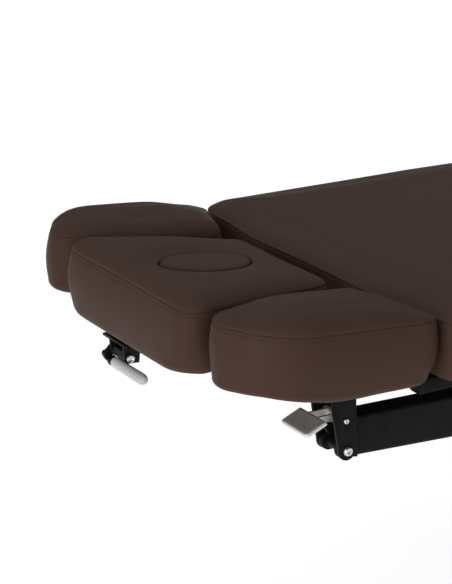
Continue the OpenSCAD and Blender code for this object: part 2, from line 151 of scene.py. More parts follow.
# ---------------------------------------------------------------------------------------------
# materials
# ---------------------------------------------------------------------------------------------
def new_material(name):
    m = bpy.data.materials.new(name)
    m.use_nodes = True
    return m, m.node_tree.nodes, m.node_tree.links, m.node_tree.nodes["Principled BSDF"]


def coords(nodes, links, scale=(1, 1, 1)):
    tc = nodes.new("ShaderNodeTexCoord")
    mp = nodes.new("ShaderNodeMapping")
    mp.inputs["Scale"].default_value = scale
    links.new(tc.outputs["Object"], mp.inputs["Vector"])
    return mp.outputs["Vector"]


def noise(nodes, links, vec, scale, detail=3, rough=0.5):
    n = nodes.new("ShaderNodeTexNoise")
    n.inputs["Scale"].default_value = scale
    n.inputs["Detail"].default_value = detail
    n.inputs["Roughness"].default_value = rough
    links.new(vec, n.inputs["Vector"])
    return n.outputs["Fac"]


def ramp(nodes, links, fac, stops):
    r = nodes.new("ShaderNodeValToRGB")
    while len(r.color_ramp.elements) < len(stops):
        r.color_ramp.elements.new(0.5)
    for e, (at, c) in zip(r.color_ramp.elements, stops):
        e.position = at
        e.color = (*c, 1) if len(c) == 3 else c
    links.new(fac, r.inputs["Fac"])
    return r.outputs["Color"]


def span(nodes, links, fac, low, high, a=0.3, b=0.7):
    r = nodes.new("ShaderNodeMapRange")
    r.inputs["From Min"].default_value = a
    r.inputs["From Max"].default_value = b
    r.inputs["To Min"].default_value = low
    r.inputs["To Max"].default_value = high
    links.new(fac, r.inputs["Value"])
    return r.outputs["Result"]


def bump(nodes, links, height, dist, strength=1.0, normal=None):
    b = nodes.new("ShaderNodeBump")
    b.inputs["Distance"].default_value = dist
    b.inputs["Strength"].default_value = strength
    links.new(height, b.inputs["Height"])
    if normal is not None:
        links.new(normal, b.inputs["Normal"])
    return b.outputs["Normal"]


def leather(name, dark, light):
    m, nodes, links, b = new_material(name)
    v = coords(nodes, links)
    tone = noise(nodes, links, v, 7.0, 4, 0.55)
    links.new(ramp(nodes, links, tone, [(0.30, dark), (0.70, light)]), b.inputs["Base Color"])
    # fine pebble grain with soft folds between the pebbles
    cell = nodes.new("ShaderNodeTexVoronoi")
    cell.feature = "SMOOTH_F1"
    cell.inputs["Scale"].default_value = 620.0
    cell.inputs["Smoothness"].default_value = 0.6
    warp = nodes.new("ShaderNodeTexNoise")
    warp.inputs["Scale"].default_value = 160.0
    links.new(v, warp.inputs["Vector"])
    mix = nodes.new("ShaderNodeMix")
    mix.data_type = "VECTOR"
    mix.inputs["Factor"].default_value = 0.004
    links.new(v, mix.inputs[4])
    links.new(warp.outputs["Color"], mix.inputs[5])
    links.new(mix.outputs[1], cell.inputs["Vector"])
    grain = bump(nodes, links, cell.outputs["Distance"], 0.00012, 0.40)
    soft = bump(nodes, links, noise(nodes, links, v, 26.0, 2), 0.0008, 0.12, grain)
    links.new(soft, b.inputs["Normal"])
    links.new(span(nodes, links, noise(nodes, links, v, 40.0, 3), 0.46, 0.50), b.inputs["Roughness"])
    b.inputs["Specular IOR Level"].default_value = 0.055
    return m


def powder(name, colour, rough=0.42, spec=0.35, peel=520.0):
    m, nodes, links, b = new_material(name)
    v = coords(nodes, links)
    c2 = tuple(min(1, x * 1.35 + 0.001) for x in colour)
    links.new(ramp(nodes, links, noise(nodes, links, v, 30.0, 4), [(0.3, colour), (0.75, c2)]), b.inputs["Base Color"])
    links.new(span(nodes, links, noise(nodes, links, v, 75.0, 3), rough - 0.05, rough + 0.06), b.inputs["Roughness"])
    links.new(bump(nodes, links, noise(nodes, links, v, peel, 2), 0.00010, 0.5), b.inputs["Normal"])
    b.inputs["Specular IOR Level"].default_value = spec
    return m


def metal(name, colour, rough, stretch=(60, 900, 900), depth=0.00003):
    m, nodes, links, b = new_material(name)
    v = coords(nodes, links, stretch)
    b.inputs["Metallic"].default_value = 1.0
    c2 = tuple(x * 0.86 for x in colour)
    links.new(ramp(nodes, links, noise(nodes, links, v, 1.0, 3), [(0.35, c2), (0.7, colour)]), b.inputs["Base Color"])
    links.new(span(nodes, links, noise(nodes, links, v, 1.4, 3), rough * 0.75, rough * 1.3), b.inputs["Roughness"])
    links.new(bump(nodes, links, noise(nodes, links, v, 1.0, 2), depth, 0.5), b.inputs["Normal"])
    return m


def plastic(name, colour, rough=0.5, spec=0.4, grain=900.0, depth=0.00006):
    m, nodes, links, b = new_material(name)
    v = coords(nodes, links)
    c2 = tuple(min(1, x * 1.12 + 0.001) for x in colour)
    links.new(ramp(nodes, links, noise(nodes, links, v, 22.0, 3), [(0.35, colour), (0.7, c2)]), b.inputs["Base Color"])
    links.new(span(nodes, links, noise(nodes, links, v, 120.0, 2), rough - 0.05, rough + 0.05), b.inputs["Roughness"])
    links.new(bump(nodes, links, noise(nodes, links, v, grain, 2), depth, 0.5), b.inputs["Normal"])
    b.inputs["Specular IOR Level"].default_value = spec
    return m


def plywood(name):
    m, nodes, links, b = new_material(name)
    v = coords(nodes, links, (14, 160, 520))
    links.new(ramp(nodes, links, noise(nodes, links, v, 1.0, 5, 0.6), [(0.3, (0.010, 0.009, 0.008)), (0.75, (0.026, 0.022, 0.019))]), b.inputs["Base Color"])
    links.new(bump(nodes, links, noise(nodes, links, v, 1.0, 4), 0.0003, 0.5), b.inputs["Normal"])
    b.inputs["Roughness"].default_value = 0.72
    b.inputs["Specular IOR Level"].default_value = 0.25
    return m


MAT = {
    "leather": leather("leather_brown", (0.0548, 0.0300, 0.0222), (0.0580, 0.0322, 0.0242)),
    "thread": plastic("thread_brown", (0.046, 0.027, 0.021), 0.75, 0.1, 2500.0),
    "rail_steel": powder("powder_black", (0.0040, 0.0040, 0.0042), 0.45, 0.09),
    "frame_steel": powder("powder_graphite", (0.0042, 0.0043, 0.0041), 0.46, 0.08),
    "column_steel": powder("powder_silver", (0.42, 0.43, 0.43), 0.38, 0.5),
    "stainless": metal("stainless", (0.84, 0.81, 0.77), 0.62),
    "zinc": metal("zinc_plate", (0.70, 0.70, 0.68), 0.28, (300, 300, 300)),
    "plastic": plastic("plastic_black", (0.0036, 0.0036, 0.0038), 0.45, 0.09),
    "grip": plastic("grip_grey", (0.48, 0.49, 0.47), 0.45, 0.3),
    "board": plywood("board_black"),
}
SLOT = {x["node"]: x["material_slot"] for x in frame["record"]["subparts"]}


# ---------------------------------------------------------------------------------------------
# mesh helpers
# ---------------------------------------------------------------------------------------------
def mesh_object(name, verts, faces, material, smooth_deg=None):
    me = bpy.data.meshes.new(name)
    me.from_pydata([tuple(v) for v in verts], [], faces)
    bm = bmesh.new()
    bm.from_mesh(me)
    bmesh.ops.recalc_face_normals(bm, faces=bm.faces)
    bm.to_mesh(me)
    bm.free()
    me.validate()
    o = bpy.data.objects.new(name, me)
    scene.collection.objects.link(o)
    me.materials.append(material)
    shade(me, smooth_deg)
    return o


def shade(me, deg):
    me.polygons.foreach_set("use_smooth", [True] * len(me.polygons))
    if deg is not None:
        me.set_sharp_from_angle(angle=math.radians(deg))
    me.update()


def fix(o, body, slot, *nodes):
    """The finished piece rides on its body and stands for its CAD nodes, which it hides; the slot argument is not used.
    """
    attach(o, body)
    if nodes:
        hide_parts(*nodes)
    for n in nodes:
        made[n] = o.name
    return o


def loft(rings, closed=False, cap_first=True, cap_last=True):
    """Vertices and faces through rings of equally many points."""
    n = len(rings[0])
    verts = [v for r in rings for v in r]
    faces = []
    pairs = list(zip(range(len(rings) - 1), range(1, len(rings))))
    if closed:
        pairs.append((len(rings) - 1, 0))
    for a, b in pairs:
        for i in range(n):
            j = (i + 1) % n
            faces.append((a * n + i, a * n + j, b * n + j, b * n + i))
    if not closed:
        for flag, k in ((cap_first, 0), (cap_last, len(rings) - 1)):
            if flag:
                c = sum((Vector(v) for v in rings[k]), Vector()) / n
                verts.append(c)
                for i in range(n):
                    faces.append((k * n + i, k * n + (i + 1) % n, len(verts) - 1))
    return verts, faces


def baked(o):
    """The object's mesh with its modifiers applied, so that none is left on it."""
    bpy.context.view_layer.update()
    dg = bpy.context.evaluated_depsgraph_get()
    me = bpy.data.meshes.new_from_object(o.evaluated_get(dg), preserve_all_data_layers=True, depsgraph=dg)
    old = o.data
    o.modifiers.clear()
    o.data = me
    me.name = old.name + "_final"
    return o


def finer(grid, closed):
    """Twice as many points both ways along smooth curves through the given ones (rings x points x 3)."""
    m, n = grid.shape[:2]
    mid = (9 * (grid + np.roll(grid, -1, 1)) - np.roll(grid, 1, 1) - np.roll(grid, -2, 1)) / 16
    g = np.empty((m, 2 * n, 3))
    g[:, 0::2], g[:, 1::2] = grid, mid
    ext = np.concatenate([g[-1:], g, g[:2]]) if closed else np.concatenate([2 * g[:1] - g[1:2], g, 2 * g[-1:] - g[-2:-1]])
    h = np.maximum(np.linalg.norm(np.diff(ext, axis=0), axis=2).mean(1), 1e-6)[:, None, None]
    d = np.diff(ext, axis=0) / h
    slope = (h[1:] * d[:-1] + h[:-1] * d[1:]) / (h[:-1] + h[1:])
    count = m if closed else m - 1
    a, b = ext[1 : 1 + count], ext[2 : 2 + count]
    sa = slope[:count]
    sb = slope[1 : 1 + count]
    between = (a + b) / 2 + h[1 : 1 + count] / 8 * (sa - sb)
    out = np.empty((m + count, 2 * n, 3))
    out[0::2], out[1::2] = g, between
    return out


def join(objs, name):
    bm = bmesh.new()
    mats = []
    for o in objs:
        base = len(bm.faces)
        bm.from_mesh(o.data)
        m = o.data.materials[0]
        if m not in mats:
            mats.append(m)
        bm.faces.ensure_lookup_table()
        for f in bm.faces[base:]:
            f.material_index = mats.index(m)
    me = bpy.data.meshes.new(name)
    bm.to_mesh(me)
    bm.free()
    for m in mats:
        me.materials.append(m)
    out = bpy.data.objects.new(name, me)
    scene.collection.objects.link(out)
    for o in objs:
        bpy.data.objects.remove(o)
    return out


# ---------------------------------------------------------------------------------------------
# cushion outlines
# ---------------------------------------------------------------------------------------------
def u2(v):
    k = math.hypot(v[0], v[1])
    return (v[0] / k, v[1] / k)


def inset_poly(p, d):
    out = []
    n = len(p)
    for i in range(n):
        a, b, c = p[i - 1], p[i], p[(i + 1) % n]
        u, v = u2((a[0] - b[0], a[1] - b[1])), u2((c[0] - b[0], c[1] - b[1]))
        s = math.sqrt(max(1e-9, (1 - (u[0] * v[0] + u[1] * v[1])) / 2))
        w = u2((u[0] + v[0], u[1] + v[1]))
        out.append((b[0] + w[0] * d / s, b[1] + w[1] * d / s))
    return out


class Outline:
    """A convex outline with rounded corners; every ring has the same number of matching points."""

    def __init__(self, p, r, step=8.0, pull=1.6, keep=0.34):
        self.p, self.r, self.pull, self.keep = p, r, pull, keep
        arcs = self.corners(0)
        self.na = [max(4, int(round(abs(a[3]) * a[1] / step))) for a in arcs]
        self.ne = []
        for i, a in enumerate(arcs):
            e, s = a[5], arcs[(i + 1) % len(arcs)][4]
            self.ne.append(max(1, int(round(math.hypot(s[0] - e[0], s[1] - e[1]) / step))))

    def corners(self, d):
        q = inset_poly(self.p, d)
        n = len(q)
        out = []
        for i in range(n):
            a, b, c = q[i - 1], q[i], q[(i + 1) % n]
            u, v = u2((a[0] - b[0], a[1] - b[1])), u2((c[0] - b[0], c[1] - b[1]))
            h = math.acos(max(-1, min(1, u[0] * v[0] + u[1] * v[1]))) / 2
            r = max(self.r[i] - d, self.keep * self.r[i])
            la, lc = math.hypot(a[0] - b[0], a[1] - b[1]), math.hypot(c[0] - b[0], c[1] - b[1])
            t = min(r / math.tan(h), 0.49 * la, 0.49 * lc)
            r = t * math.tan(h)
            w = u2((u[0] + v[0], u[1] + v[1]))
            o = (b[0] + w[0] * r / math.sin(h), b[1] + w[1] * r / math.sin(h))
            s, e = (b[0] + u[0] * t, b[1] + u[1] * t), (b[0] + v[0] * t, b[1] + v[1] * t)
            a0 = math.atan2(s[1] - o[1], s[0] - o[0])
            a1 = math.atan2(e[1] - o[1], e[0] - o[0])
            sweep_a = (a1 - a0 + 3 * math.pi) % (2 * math.pi) - math.pi
            out.append((o, r, a0, sweep_a, s, e))
        return out

    def ring(self, d):
        arcs = self.corners(d)
        pts = []
        for i, (o, r, a0, da, s, e) in enumerate(arcs):
            for k in range(self.na[i] + 1):
                t = a0 + da * k / self.na[i]
                pts.append((o[0] + r * math.cos(t), o[1] + r * math.sin(t)))
            s2 = arcs[(i + 1) % len(arcs)][4]
            dx, dy = s2[0] - e[0], s2[1] - e[1]
            length = math.hypot(dx, dy) or 1.0
            for k in range(1, self.ne[i]):
                t = k / self.ne[i]
                w = self.pull * math.sin(math.pi * t) ** 2 * min(1.0, length / 120)
                pts.append((e[0] + dx * t - dy / length * w, e[1] + dy * t + dx / length * w))
        return pts


class Oval:
    def __init__(self, l, w, n, at):
        self.a, self.b, self.n, self.at = l / 2, w / 2, n, at

    def at_angle(self, d, ang):
        """Point of the oval moved inwards by d, seen from the middle at that angle."""
        a, b = self.a - d, self.b - d
        t = math.atan2(math.sin(ang) / b, math.cos(ang) / a)
        return (self.at[0] + a * math.cos(t), self.at[1] + b * math.sin(t))

    def ring(self, d):
        return [self.at_angle(d, math.atan2(math.sin(2 * math.pi * k / self.n) * self.b, math.cos(2 * math.pi * k / self.n) * self.a)) for k in range(self.n)]


def side_profile(zb, zs, bulge, r0=14.0, pull=0.0, step=8.5):
    """(inset, height, kind) from the bottom edge to the top-stitch, seam and start of the crown."""
    out = []
    for k in range(6):
        a = k / 5 * math.pi / 2
        out.append((pull + r0 * (1 - math.sin(a)), zb + r0 * (1 - math.cos(a)), "bottom" if k < 2 else "side"))
    z0, z1 = zb + r0, zs - 7.4
    n = max(2, int(round((z1 - z0) / step)))
    for k in range(1, n + 1):
        t = k / n
        out.append((pull * (1 - t) ** 2 - bulge * math.sin(math.pi * t), z0 + (z1 - z0) * t, "side"))
    for d, z, kind in ((0.15, -6.5, "stitch"), (0.45, -5.9, "row"), (0.38, -5.3, "stitch"), (0.62, -3.9, "seam"), (0.95, -2.4, "seam"),
                       (1.25, -1.5, "seam"), (1.75, -0.85, "seam"), (2.55, -0.25, "seam"), (2.75, 0.25, "seam"), (2.45, 0.8, "seam"), (1.95, 1.5, "seam"), (2.1, 2.4, "seam")):
        out.append((d, zs + z, kind))
    return out


def crown_profile(zs, rise, width):
    return [(1.5 + width * (1 - math.cos(math.radians(a))), zs + 0.6 + (rise - 0.6) * math.sin(math.radians(a)), "roll")
            for a in (15, 21, 28, 36, 45, 55, 66, 78, 90)]


class Cushion:
    """A sewn cover as rings of points: bottom, side with top-stitch and seam, rolled edge and crowned top."""

    def __init__(self, name, sp, line, zb, zs, rise, width=48.0, dome=2.5, bulge=3.0, hole=None, cap=None, r0=14.0, step=8.5, top_step=13.0):
        self.name, self.sp, self.cap = name, sp, cap
        prof = side_profile(zb, zs, bulge, r0, step=step) + crown_profile(zs, rise, width)
        flat = [[(x, y, z) for x, y in line.ring(d)] for d, z, _ in prof]
        kinds = [k for _, _, k in prof]
        first, last = flat[0], flat[-1]
        n = len(first)
        cx = sum(p[0] for p in first) / n
        cy = sum(p[1] for p in first) / n
        reach = sum(math.hypot(p[0] - cx, p[1] - cy) for p in first) / n
        if hole is None:
            below = [[(cx + (p[0] - cx) * s, cy + (p[1] - cy) * s, zb) for p in first] for s in (0.12, 0.35, 0.6, 0.82, 0.95)]
            k = max(5, int(round(reach / top_step)))
            above = []
            for i in range(1, k):
                s = 1 - i / k
                above.append([(cx + (p[0] - cx) * s, cy + (p[1] - cy) * s, p[2] + dome * (1 - s * s) ** 2) for p in last])
            self.flat = below + flat + above
            self.kinds = ["bottom"] * len(below) + kinds + ["top"] * len(above)
            self.closed = False
        else:
            ang = [math.atan2(p[1] - hole.at[1], p[0] - hole.at[0]) for p in last]
            ang_b = [math.atan2(p[1] - hole.at[1], p[0] - hole.at[0]) for p in first]
            rim = []
            for out_by, drop, kind in ((10, 0.0, "top"), (7.5, 0.05, "top"), (5.6, 0.22, "roll"), (4.0, 0.6, "roll"), (2.7, 1.25, "roll"), (1.6, 2.3, "roll"),
                                       (0.8, 3.8, "seam"), (0.35, 5.8, "seam"), (0.2, 9.0, "seam"), (0.1, 13.2, "seam")):
                rim.append(([(*hole.at_angle(-out_by, a), zs + rise + dome - drop) for a in ang], kind))
            above = []
            for i in range(1, 5):
                t = i / 5
                row = []
                for p, q in zip(last, rim[0][0]):
                    e = t * t * (3 - 2 * t)
                    row.append((p[0] + (q[0] - p[0]) * t, p[1] + (q[1] - p[1]) * t, p[2] + (q[2] - p[2]) * e))
                above.append(row)
            wall = []
            top_z = zs + rise + dome - 13.2
            for i in range(1, 8):
                t = i / 7
                wall.append([(*hole.at_angle(-0.1, a), top_z + (zb + 6 - top_z) * t) for a in ang])
            under = [[(*hole.at_angle(-1.5, a), zb + 2) for a in ang], [(*hole.at_angle(-6, a), zb) for a in ang]]
            bot = []
            for i in range(1, 4):
                t = i / 4
                bot.append([(q[0] + (p[0] - q[0]) * t, q[1] + (p[1] - q[1]) * t, zb) for p, q in zip(first, under[-1])])
            self.flat = flat + above + [r for r, _ in rim] + wall + under + bot
            self.kinds = kinds + ["top"] * len(above) + [k for _, k in rim] + ["wall"] * len(wall) + ["bottom"] * (len(under) + len(bot))
            self.closed = True
        self.n = n
        rings = [[sp(*p) for p in r] for r in self.flat]
        verts, faces = loft(rings, closed=self.closed)
        self.obj = mesh_object(name, verts, faces, MAT["leather"])
        self.count = len(rings)
        self.rest = np.array([tuple(v) for v in verts], float)

    def hold(self):
        """Indices that the simulation holds: the seam, the stitch row, the underside and a hole's wall."""
        keep = []
        for k, kind in enumerate(self.kinds):
            if kind in ("seam", "row", "stitch", "bottom", "wall"):
                keep += range(k * self.n, (k + 1) * self.n)
        if not self.closed:
            keep.append(self.count * self.n)  # the middle of the underside
        return keep

    def cloth(self, pressure):
        vg = self.obj.vertex_groups.new(name="held")
        vg.add(self.hold(), 1.0, "REPLACE")
        mod = self.obj.modifiers.new("cover", "CLOTH")
        s = mod.settings
        s.quality = 5
        s.mass = 0.35
        s.tension_stiffness = s.compression_stiffness = 18
        s.shear_stiffness = 6
        s.bending_stiffness = 1.2
        s.use_pressure = True
        s.uniform_pressure_force = pressure
        s.vertex_group_mass = "held"
        s.effector_weights.gravity = 0.0
        mod.collision_settings.use_collision = False
        mod.collision_settings.use_self_collision = False
        mod.point_cache.frame_start = 1
        mod.point_cache.frame_end = 20

    def read(self):
        dg = bpy.context.evaluated_depsgraph_get()
        me = self.obj.evaluated_get(dg).to_mesh()
        co = np.zeros(len(me.vertices) * 3)
        me.vertices.foreach_get("co", co)
        self.obj.evaluated_get(dg).to_mesh_clear()
        return co.reshape(-1, 3)

    def settle(self, co):
        """Takes the swelling over, evened out and capped by what the photograph and the neighbours allow."""
        d = (co - self.rest) * 1000.0
        d[~np.isfinite(d)] = 0.0
        m, n = self.count, self.n
        g = d[: m * n].reshape(m, n, 3)
        held = np.array([k in ("seam", "row", "stitch", "bottom", "wall") for k in self.kinds])
        for _ in range(6):
            h = g * 0.4 + 0.15 * (np.roll(g, 1, 1) + np.roll(g, -1, 1))
            up = np.concatenate([g[1:], g[:1] if self.closed else g[-1:]])
            dn = np.concatenate([g[-1:] if self.closed else g[:1], g[:-1]])
            g = h + 0.15 * (up + dn)
            g[held] = 0
        if not self.closed:  # rings near the middle are short, so they share one height
            for k in range(m - 4, m):
                w = (k - (m - 5)) / 4
                g[k] = g[k] * (1 - w) + g[k].mean(0) * w
        cap = np.array([[self.cap(*self.flat[k][i], self.kinds[k]) for i in range(n)] for k in range(m)])
        zs = np.array([np.mean([p[2] for p in r]) for r in self.flat])
        zb, zt = zs.min(), zs[self.kinds.index("row")]
        side = np.array([k == "side" for k in self.kinds])
        t = np.clip((zs - zb) / (zt - zb), 0, 1)
        cap = cap * np.where(side, np.clip(4 * t * (1 - t), 0.02, 1), 1.0)[:, None]
        size = np.linalg.norm(g, axis=2)
        scale = np.where(size > 1e-6, cap * np.tanh(size / np.maximum(cap, 1e-6)) / np.maximum(size, 1e-6), 0.0)
        g = g * scale[:, :, None]
        d[: m * n] = g.reshape(-1, 3)
        if not self.closed:
            d[m * n] = 0
            d[m * n + 1] = g[-1].mean(0)
        new = self.rest + d / 1000.0
        self.obj.data.vertices.foreach_set("co", new.ravel())
        self.obj.data.update()
        self.now = new

    def finish(self, body, *nodes, fill=0.85, stitches=True):
        """The settled rings, refined, as the cover that is seen."""
        grid = finer(self.now[: self.count * self.n].reshape(self.count, self.n, 3), self.closed)
        old = self.obj
        name = self.name
        old.name = name + "_coarse"
        verts, faces = loft([list(r) for r in grid], closed=self.closed)
        if not self.closed:
            verts[-2], verts[-1] = self.now[-2], self.now[-1]
        self.obj = mesh_object(name, verts, faces, MAT["leather"])
        bpy.data.objects.remove(old)
        shade(self.obj.data, None)
        fix(self.obj, body, "leather", *nodes)
        if stitches:
            row = self.kinds.index("row")
            pts = [Vector(p) for p in self.now[row * self.n : (row + 1) * self.n]]
            o = stitch_row(self.name + "_stitching", pts, self.obj)
            fix(o, body, "leather")
        return self.obj


def stitch_row(name, pts, cover, pitch=0.0054, length=0.0038, r=0.00042):
    """Threads of a top-stitch: short strands that dip into the cover at both ends."""
    me = cover.data
    tree = BVHTree.FromPolygons([v.co.copy() for v in me.vertices], [tuple(p.vertices) for p in me.polygons])
    n = len(pts)
    seg = [(pts[(i + 1) % n] - pts[i]).length for i in range(n)]
    total = sum(seg)
    count = int(total / pitch)
    step = total / count
    verts, faces = [], []
    i, along = 0, 0.0
    sides, marks = 6, (-1.0, -0.72, 0.0, 0.72, 1.0)
    for k in range(count):
        at = k * step
        while along + seg[i] < at and i < n - 1:
            along += seg[i]
            i += 1
        t = (at - along) / seg[i] if seg[i] > 1e-9 else 0.0
        p = pts[i].lerp(pts[(i + 1) % n], t)
        tan = (pts[(i + 1) % n] - pts[i]).normalized()
        hit, nor, _, _ = tree.find_nearest(p)
        if hit is None:
            continue
        side = nor.cross(tan).normalized()
        base = len(verts)
        for u in marks:
            c = hit + tan * (u * length / 2) + nor * (0.00030 - 0.00062 * abs(u) ** 2.2)
            rr = r * (1 - 0.45 * abs(u) ** 3)
            for s in range(sides):
                a = 2 * math.pi * s / sides
                verts.append(c + nor * (rr * math.sin(a)) + side * (rr * math.cos(a)))
        for q in range(len(marks) - 1):
            for s in range(sides):
                s2 = (s + 1) % sides
                faces.append((base + q * sides + s, base + q * sides + s2, base + (q + 1) * sides + s2, base + (q + 1) * sides + s))
        faces.append(tuple(base + s for s in reversed(range(sides))))
        faces.append(tuple(base + (len(marks) - 1) * sides + s for s in range(sides)))
    return mesh_object(name, verts, faces, MAT["thread"])


# ---------------------------------------------------------------------------------------------
# cushions
# ---------------------------------------------------------------------------------------------
HEAD_P = [(-296, -208), (-10, -130), (-10, 130), (-296, 208)]
ARM_P = [(-306, 239), (-170, 186), (-24, 185), (35, 354), (-246, 362)]
BACK_P = [(35, -170), (54, -381), (770, -381), (770, 381), (54, 381), (35, 170)]
SEAT_P = [(774, -381), (1760, -381), (1760, 381), (774, 381)]


def cap_head(x, y, z, kind):
    if kind in ("top", "roll"):
        return 2.6
    return 2.0 if x < -268 else 1.0


def cap_arm(x, y, z, kind):
    if kind in ("top", "roll"):
        return 3.0
    return 2.2 if y > 300 or x < -262 else 0.8


def cap_back(x, y, z, kind):
    if x > 690:
        return 0.8
    if kind in ("top", "roll"):
        return 4.0
    return 1.5 if x < 60 else 3.2


def cap_seat(x, y, z, kind):
    if kind in ("top", "roll"):
        return 5.0 if x > 800 else 1.5
    return 0.8 if x < 790 else 4.5


def cap_plug(x, y, z, kind):
    return 1.2 if kind == "top" else 0.2


hole = Oval(150, 104, 96, (-155, 0))
cushions = {
    "head": Cushion("head_cushion_cover", head_soft, Outline(HEAD_P, [34, 30, 30, 34], 7.5, 1.8), -93, 0, 15, 46, 1.4, 3.4, hole=hole, cap=cap_head),
    "arm_r": Cushion("armrest_cushion_right_cover", arm_right_soft, Outline(ARM_P, [47, 150, 43, 31, 104], 7.5, 1.2), -82.7, 10.3, 15, 46, 5.5, 4.6, cap=cap_arm),
    "arm_l": Cushion("armrest_cushion_left_cover", arm_left_soft, Outline(ARM_P, [47, 150, 43, 31, 104], 7.5, 1.2), -82.7, 10.3, 15, 46, 5.5, 4.6, cap=cap_arm),
    "back": Cushion("back_cushion_cover", back_soft, Outline(BACK_P, [300, 60, 12, 12, 60, 300], 10.5, 2.0), -93, -8, 15, 48, 2.5, 2.0, cap=cap_back, step=10, top_step=16),
    "seat": Cushion("seat_cushion_cover", P, Outline(SEAT_P, [14, 60, 60, 14], 11.0, 2.0), -93, -8, 15, 48, 3.0, 3.0, cap=cap_seat, step=10, top_step=17),
}

for c in cushions.values():
    c.cloth(4.0)
for f in range(1, 21):
    scene.frame_set(f)
swollen = {k: c.read() for k, c in cushions.items()}
for k, c in cushions.items():
    for mod in list(c.obj.modifiers):
        c.obj.modifiers.remove(mod)
scene.frame_set(1)
for k, c in cushions.items():
    c.settle(swollen[k])

cushions["head"].finish("head", "head_cushion", fill=0.85)
cushions["arm_r"].finish("armrest_right", "armrest_cushion_right", fill=0.9)
cushions["arm_l"].finish("armrest_left", "armrest_cushion_left", fill=0.9)
cushions["back"].finish("back", "back_cushion", fill=0.85)
cushions["seat"].finish("chassis", "seat_cushion", fill=0.85)

# the face plug: a padded oval that stands just proud of the head cushion
plug = Oval(148.9, 102.9, 96, (-155, 0))
rows = [(40, -92.4), (22, -92.4), (8, -92.4), (3, -91.4), (1.0, -88), (0.4, -80), (0.0, -60), (0.0, -30), (0.0, -10), (0.0, 2.0), (0.1, 8.0),
        (0.4, 11.6), (1.1, 14.0), (2.2, 15.8), (3.8, 16.9), (6.0, 17.6), (9.5, 18.1), (14, 18.5), (20, 18.9), (27, 19.2), (34, 19.4), (41, 19.5)]
rings = [[head_sp(x, y, z) for x, y in plug.ring(d)] for d, z in rows]
grid = finer(np.array([[tuple(v) for v in r] for r in rings]), False)
verts, faces = loft([list(r) for r in grid])
face_plug = mesh_object("face_plug_cover", verts, faces, MAT["leather"])
shade(face_plug.data, None)
fix(face_plug, "face_plug", "leather", "face_plug")


# ---------------------------------------------------------------------------------------------
# steel sections with rounded corners
# ---------------------------------------------------------------------------------------------
def rrect(w, h, r, n=5):
    pts = []
    for cx, cy, a0 in ((w / 2 - r, h / 2 - r, 0), (-w / 2 + r, h / 2 - r, 90), (-w / 2 + r, -h / 2 + r, 180), (w / 2 - r, -h / 2 + r, 270)):
        for k in range(n + 1):
            a = math.radians(a0 + 90 * k / n)
            pts.append((cx + r * math.cos(a), cy + r * math.sin(a)))
    return pts


def rhs(name, axis, a, b, wall, r, material, sp=P, cuts=1):
    """Rounded hollow section from corner a to corner b along x, y or z, open at both ends."""
    i = "xyz".index(axis)
    j, k = [q for q in range(3) if q != i]
    w, h = b[j] - a[j], b[k] - a[k]
    cj, ck = (a[j] + b[j]) / 2, (a[k] + b[k]) / 2
    ri = max(0.8, r - wall)

    def ring(pts, at):
        out = []
        for p, q in pts:
            v = [0, 0, 0]
            v[i], v[j], v[k] = at, cj + p, ck + q
            out.append(sp(*v))
        return out

    full, slim, inner = rrect(w, h, r), rrect(w - 1.0, h - 1.0, max(0.6, r - 0.5)), rrect(w - 2 * wall, h - 2 * wall, ri)
    rings = [ring(inner, a[i]), ring(slim, a[i]), ring(full, a[i] + 0.5)]
    for c in range(1, cuts):
        rings.append(ring(full, a[i] + (b[i] - a[i]) * c / cuts))
    rings += [ring(full, b[i] - 0.5), ring(slim, b[i]), ring(inner, b[i])]
    verts, faces = loft(rings, closed=True)
    return mesh_object(name, verts, faces, material, 30)


def mirror_y(f):
    return lambda x, y, z: f(x, -y, z)


PM = mirror_y(P)
RAIL_TOP, RAIL_BOT, TT, TB = -148, -208, -108, -133
FLOOR = -700
BASE_TOP = FLOOR + 76



def side_rail(name, sp):
    """Rectangular section whose first 170 mm rise a little towards the armrest pivot."""
    stations = [-58, -57.5, -20, 30, 80, 104, 112, 120, 300, 700, 1100, 1400, 1679.5, 1680]

    def ring(x, t, r):
        k = max(0.0, min(1.0, (112 - x) / 170))
        z0, z1 = RAIL_BOT - 7 + 8.5 * k + t, RAIL_TOP + 4.5 * k - t
        return [sp(x, 265 + p, (z0 + z1) / 2 + q) for p, q in rrect(40 - 2 * t, z1 - z0, r)]

    rings = [ring(x, 0.5 if x in (-58, 1680) else 0.0, 6) for x in stations] + [ring(x, 3.0, 3) for x in reversed(stations)]
    verts, faces = loft(rings, closed=True)
    return mesh_object(name, verts, faces, MAT["rail_steel"], 30)


def back_tube(name, sp):
    """Square tube, its head end cut on a slant and closed, its other end open."""

    def ring(x, t, r, slant):
        out = []
        for p, q in rrect(25 - 2 * t, 25 - 2 * t, r):
            z = (TT + TB) / 2 + q
            out.append(sp(x + (12 * (TT - z) / 25 if slant else 0.0), 277.5 + p, z))
        return out

    rings = [ring(38, 6, 1.5, True), ring(38, 0.8, 3.4, True), ring(38.6, 0, 4, True)] + [ring(x, 0, 4, False) for x in (120, 300, 500, 689.5)]
    rings += [ring(690, 0.5, 3.5, False), ring(690, 2.5, 1.5, False), ring(500, 2.5, 1.5, False), ring(300, 2.5, 1.5, False), ring(80, 2.5, 1.5, False)]
    verts, faces = loft(rings)
    return mesh_object(name, verts, faces, MAT["frame_steel"], 30)


